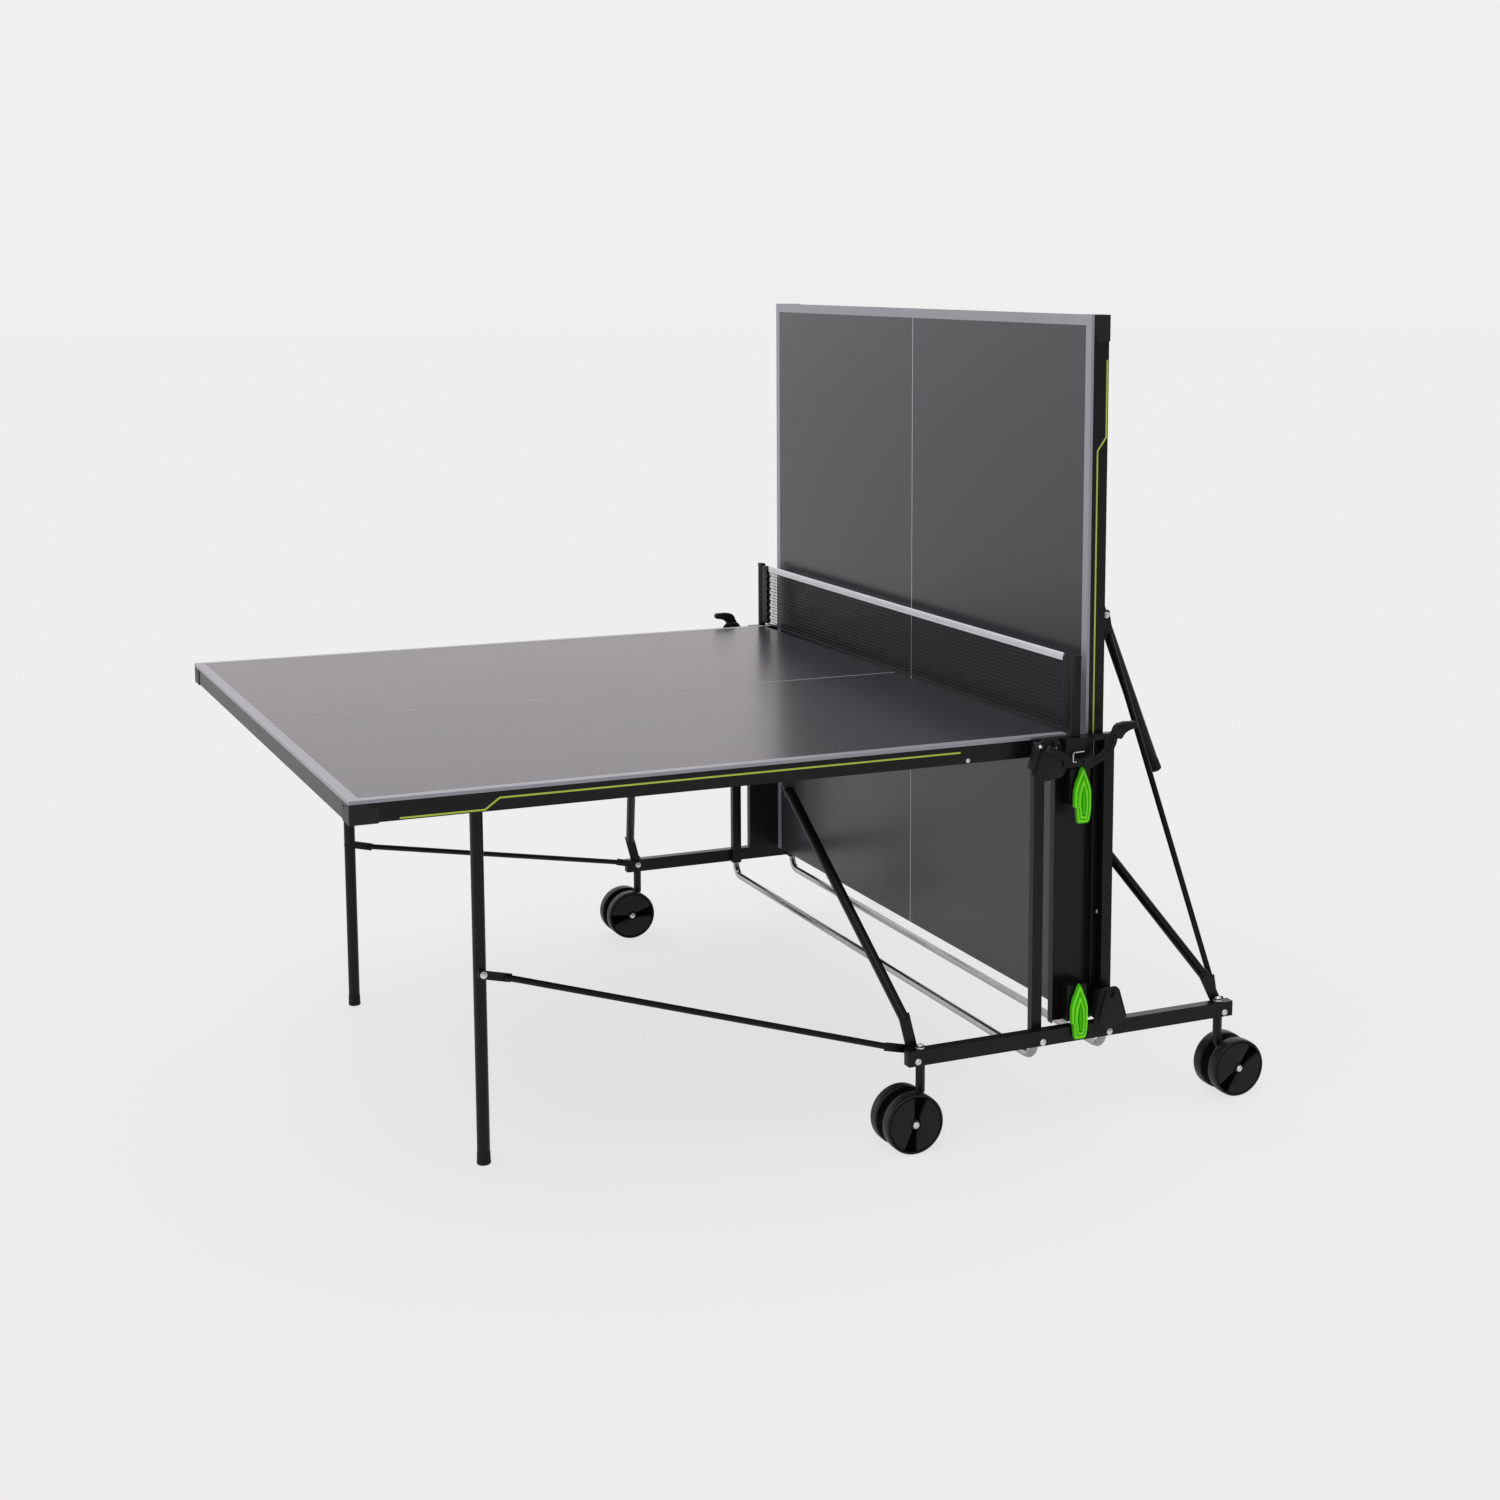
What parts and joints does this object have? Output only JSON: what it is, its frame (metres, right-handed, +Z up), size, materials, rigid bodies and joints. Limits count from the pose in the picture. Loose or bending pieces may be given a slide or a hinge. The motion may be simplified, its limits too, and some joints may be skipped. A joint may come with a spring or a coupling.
{
  "type": "ping pong table",
  "caption": "Folding outdoor ping pong table on a wheeled frame, with one half in the playing position, the other stored upright, and a net between them.",
  "frame": {"origin": "on the floor, under the middle of the whole object's box", "axes": "+X from the half in the playing position to the stored half, +Y across the table from the near side to the far side, +Z up"},
  "size_m": [1.797, 1.671, 1.557],
  "materials": {
    "playing_coat": "satin dark grey melamine board with pale boundary lines",
    "black_steel": "black powder coat, satin",
    "black_plastic": "black moulded plastic, fine grain",
    "wheel_plastic": "black moulded wheel, slightly glossy",
    "corner_plastic": "charcoal moulded plastic",
    "green_plastic": "bright green moulded plastic",
    "zinc_steel": "zinc plated",
    "net_cord": "fine knotted mesh",
    "net_tape": "white woven tape"
  },
  "bodies": {
    "chassis": {"near_side_beam": "black_steel", "far_side_beam": "black_steel", "left_bent_frame": "black_steel", "right_bent_frame": "black_steel", "near_cover": "black_steel", "far_cover": "black_steel", "near_top_bracket": "black_steel", "far_top_bracket": "black_steel", "near_net_post": "black_plastic", "far_net_post": "black_plastic", "net": "net_cord", "net_top_band": "net_tape"},
    "left_carriages": {"left_near_carriage": "black_plastic", "left_far_carriage": "black_plastic"},
    "left_half": {"left_board": "playing_coat", "left_frame": "black_steel", "left_near_corner_cap": "corner_plastic", "left_far_corner_cap": "corner_plastic"},
    "left_legs": {"left_near_leg": "black_steel", "left_far_leg": "black_steel"},
    "left_braces": {"left_near_brace": "black_steel", "left_far_brace": "black_steel"},
    "left_struts": {"left_near_strut": "black_steel", "left_far_strut": "black_steel"},
    "right_carriages": {"right_near_carriage": "black_plastic", "right_far_carriage": "black_plastic"},
    "right_half": {"right_board": "playing_coat", "right_frame": "black_steel", "right_near_corner_cap": "corner_plastic", "right_far_corner_cap": "corner_plastic"},
    "right_legs": {"right_near_leg": "black_steel", "right_far_leg": "black_steel"},
    "right_braces": {"right_near_brace": "black_steel", "right_far_brace": "black_steel"},
    "right_struts": {"right_near_strut": "black_steel", "right_far_strut": "black_steel"},
    "left_near_caster": {"left_near_caster_stem": "black_steel", "left_near_axle": "zinc_steel"},
    "left_near_inner_wheel_body": {"left_near_inner_wheel": "wheel_plastic"},
    "left_near_outer_wheel_body": {"left_near_outer_wheel": "wheel_plastic"},
    "left_far_caster": {"left_far_caster_stem": "black_steel", "left_far_axle": "zinc_steel"},
    "left_far_inner_wheel_body": {"left_far_inner_wheel": "wheel_plastic"},
    "left_far_outer_wheel_body": {"left_far_outer_wheel": "wheel_plastic"},
    "right_near_caster": {"right_near_caster_stem": "black_steel", "right_near_axle": "zinc_steel"},
    "right_near_inner_wheel_body": {"right_near_inner_wheel": "wheel_plastic"},
    "right_near_outer_wheel_body": {"right_near_outer_wheel": "wheel_plastic"},
    "right_far_caster": {"right_far_caster_stem": "black_steel", "right_far_axle": "zinc_steel"},
    "right_far_inner_wheel_body": {"right_far_inner_wheel": "wheel_plastic"},
    "right_far_outer_wheel_body": {"right_far_outer_wheel": "wheel_plastic"},
    "near_arm": {"near_catch_arm": "black_plastic"},
    "near_upper_catch_lever": {"near_upper_catch": "green_plastic"},
    "near_lower_catch_lever": {"near_lower_catch": "green_plastic"},
    "far_arm": {"far_catch_arm": "black_plastic"},
    "far_upper_catch_lever": {"far_upper_catch": "green_plastic"},
    "far_lower_catch_lever": {"far_lower_catch": "green_plastic"}
  },
  "joints": [
    {"name": "left_half_fold", "type": "hinge", "parent": "left_carriages", "child": "left_half", "pos_m": [0.4245, 0, 0.739], "axis": [0, 1, 0], "range_deg": [0, 90]},
    {"name": "left_carriage_slide", "type": "slide", "parent": "chassis", "child": "left_carriages", "axis": [0, 0, -1], "range_m": [0, 0.505]},
    {"name": "left_strut_swing", "type": "hinge", "parent": "chassis", "child": "left_struts", "pos_m": [0.1385, 0, 0.182], "axis": [0, 1, 0], "range_deg": [0, 41.19]},
    {"name": "left_brace_swing", "type": "hinge", "parent": "chassis", "child": "left_braces", "pos_m": [0.1385, 0, 0.182], "axis": [0, 1, 0], "range_deg": [0, 86.2]},
    {"name": "left_leg_swing", "type": "hinge", "parent": "left_half", "child": "left_legs", "pos_m": [-0.6185, 0, 0.719], "axis": [0, -1, 0], "range_deg": [0, 67.89]},
    {"name": "right_half_unfold", "type": "hinge", "parent": "right_carriages", "child": "right_half", "pos_m": [0.5345, 0, 0.234], "axis": [0, 1, 0], "range_deg": [0, 90]},
    {"name": "right_carriage_slide", "type": "slide", "parent": "chassis", "child": "right_carriages", "axis": [0, 0, 1], "range_m": [0, 0.505]},
    {"name": "right_strut_swing", "type": "hinge", "parent": "chassis", "child": "right_struts", "pos_m": [0.8205, 0, 0.182], "axis": [0, 1, 0], "range_deg": [0, 41.19]},
    {"name": "right_brace_swing", "type": "hinge", "parent": "chassis", "child": "right_braces", "pos_m": [0.8205, 0, 0.182], "axis": [0, 1, 0], "range_deg": [0, 86.2]},
    {"name": "right_leg_swing", "type": "hinge", "parent": "right_half", "child": "right_legs", "pos_m": [0.5545, 0, 1.277], "axis": [0, -1, 0], "range_deg": [0, 67.89]},
    {"name": "left_near_caster_swivel", "type": "hinge", "parent": "chassis", "child": "left_near_caster", "pos_m": [0.1465, -0.793, 0.16], "axis": [0, 0, 1], "continuous": true},
    {"name": "left_near_inner_wheel_spin", "type": "hinge", "parent": "left_near_caster", "child": "left_near_inner_wheel_body", "pos_m": [0.1185, -0.7665, 0.058], "axis": [0, 1, 0], "continuous": true},
    {"name": "left_near_outer_wheel_spin", "type": "hinge", "parent": "left_near_caster", "child": "left_near_outer_wheel_body", "pos_m": [0.1185, -0.8195, 0.058], "axis": [0, 1, 0], "continuous": true},
    {"name": "left_far_caster_swivel", "type": "hinge", "parent": "chassis", "child": "left_far_caster", "pos_m": [0.1465, 0.793, 0.16], "axis": [0, 0, 1], "continuous": true},
    {"name": "left_far_inner_wheel_spin", "type": "hinge", "parent": "left_far_caster", "child": "left_far_inner_wheel_body", "pos_m": [0.1185, 0.7665, 0.058], "axis": [0, 1, 0], "continuous": true},
    {"name": "left_far_outer_wheel_spin", "type": "hinge", "parent": "left_far_caster", "child": "left_far_outer_wheel_body", "pos_m": [0.1185, 0.8195, 0.058], "axis": [0, 1, 0], "continuous": true},
    {"name": "right_near_caster_swivel", "type": "hinge", "parent": "chassis", "child": "right_near_caster", "pos_m": [0.8125, -0.793, 0.16], "axis": [0, 0, 1], "continuous": true},
    {"name": "right_near_inner_wheel_spin", "type": "hinge", "parent": "right_near_caster", "child": "right_near_inner_wheel_body", "pos_m": [0.8405, -0.7665, 0.058], "axis": [0, 1, 0], "continuous": true},
    {"name": "right_near_outer_wheel_spin", "type": "hinge", "parent": "right_near_caster", "child": "right_near_outer_wheel_body", "pos_m": [0.8405, -0.8195, 0.058], "axis": [0, 1, 0], "continuous": true},
    {"name": "right_far_caster_swivel", "type": "hinge", "parent": "chassis", "child": "right_far_caster", "pos_m": [0.8125, 0.793, 0.16], "axis": [0, 0, 1], "continuous": true},
    {"name": "right_far_inner_wheel_spin", "type": "hinge", "parent": "right_far_caster", "child": "right_far_inner_wheel_body", "pos_m": [0.8405, 0.7665, 0.058], "axis": [0, 1, 0], "continuous": true},
    {"name": "right_far_outer_wheel_spin", "type": "hinge", "parent": "right_far_caster", "child": "right_far_outer_wheel_body", "pos_m": [0.8405, 0.8195, 0.058], "axis": [0, 1, 0], "continuous": true},
    {"name": "near_arm_lift", "type": "hinge", "parent": "chassis", "child": "near_arm", "pos_m": [0.4795, -0.828, 0.714], "axis": [0, -1, 0], "range_deg": [0, 30]},
    {"name": "near_upper_catch_pull", "type": "hinge", "parent": "chassis", "child": "near_upper_catch_lever", "pos_m": [0.4795, -0.8065, 0.698], "axis": [-1, 0, 0], "range_deg": [0, 18], "stiffness_Nm_per_rad": 0.3},
    {"name": "near_lower_catch_pull", "type": "hinge", "parent": "chassis", "child": "near_lower_catch_lever", "pos_m": [0.4795, -0.8065, 0.27], "axis": [-1, 0, 0], "range_deg": [0, 18], "stiffness_Nm_per_rad": 0.3},
    {"name": "far_arm_lift", "type": "hinge", "parent": "chassis", "child": "far_arm", "pos_m": [0.4795, 0.828, 0.714], "axis": [0, 1, 0], "range_deg": [0, 30]},
    {"name": "far_upper_catch_pull", "type": "hinge", "parent": "chassis", "child": "far_upper_catch_lever", "pos_m": [0.4795, 0.8065, 0.698], "axis": [1, 0, 0], "range_deg": [0, 18], "stiffness_Nm_per_rad": 0.3},
    {"name": "far_lower_catch_pull", "type": "hinge", "parent": "chassis", "child": "far_lower_catch_lever", "pos_m": [0.4795, 0.8065, 0.27], "axis": [1, 0, 0], "range_deg": [0, 18], "stiffness_Nm_per_rad": 0.3}
  ],
  "couplings": [
    {"joint": "left_carriage_slide", "follows": "left_half_fold", "m_per_rad": 0.32149},
    {"joint": "left_strut_swing", "follows": "left_half_fold", "ratio": 0.4577},
    {"joint": "left_brace_swing", "follows": "left_half_fold", "ratio": 0.9578},
    {"joint": "left_leg_swing", "follows": "left_half_fold", "ratio": 0.75434},
    {"joint": "right_carriage_slide", "follows": "right_half_unfold", "m_per_rad": 0.32149},
    {"joint": "right_strut_swing", "follows": "right_half_unfold", "ratio": 0.4577},
    {"joint": "right_brace_swing", "follows": "right_half_unfold", "ratio": 0.9578},
    {"joint": "right_leg_swing", "follows": "right_half_unfold", "ratio": 0.75434}
  ]
}
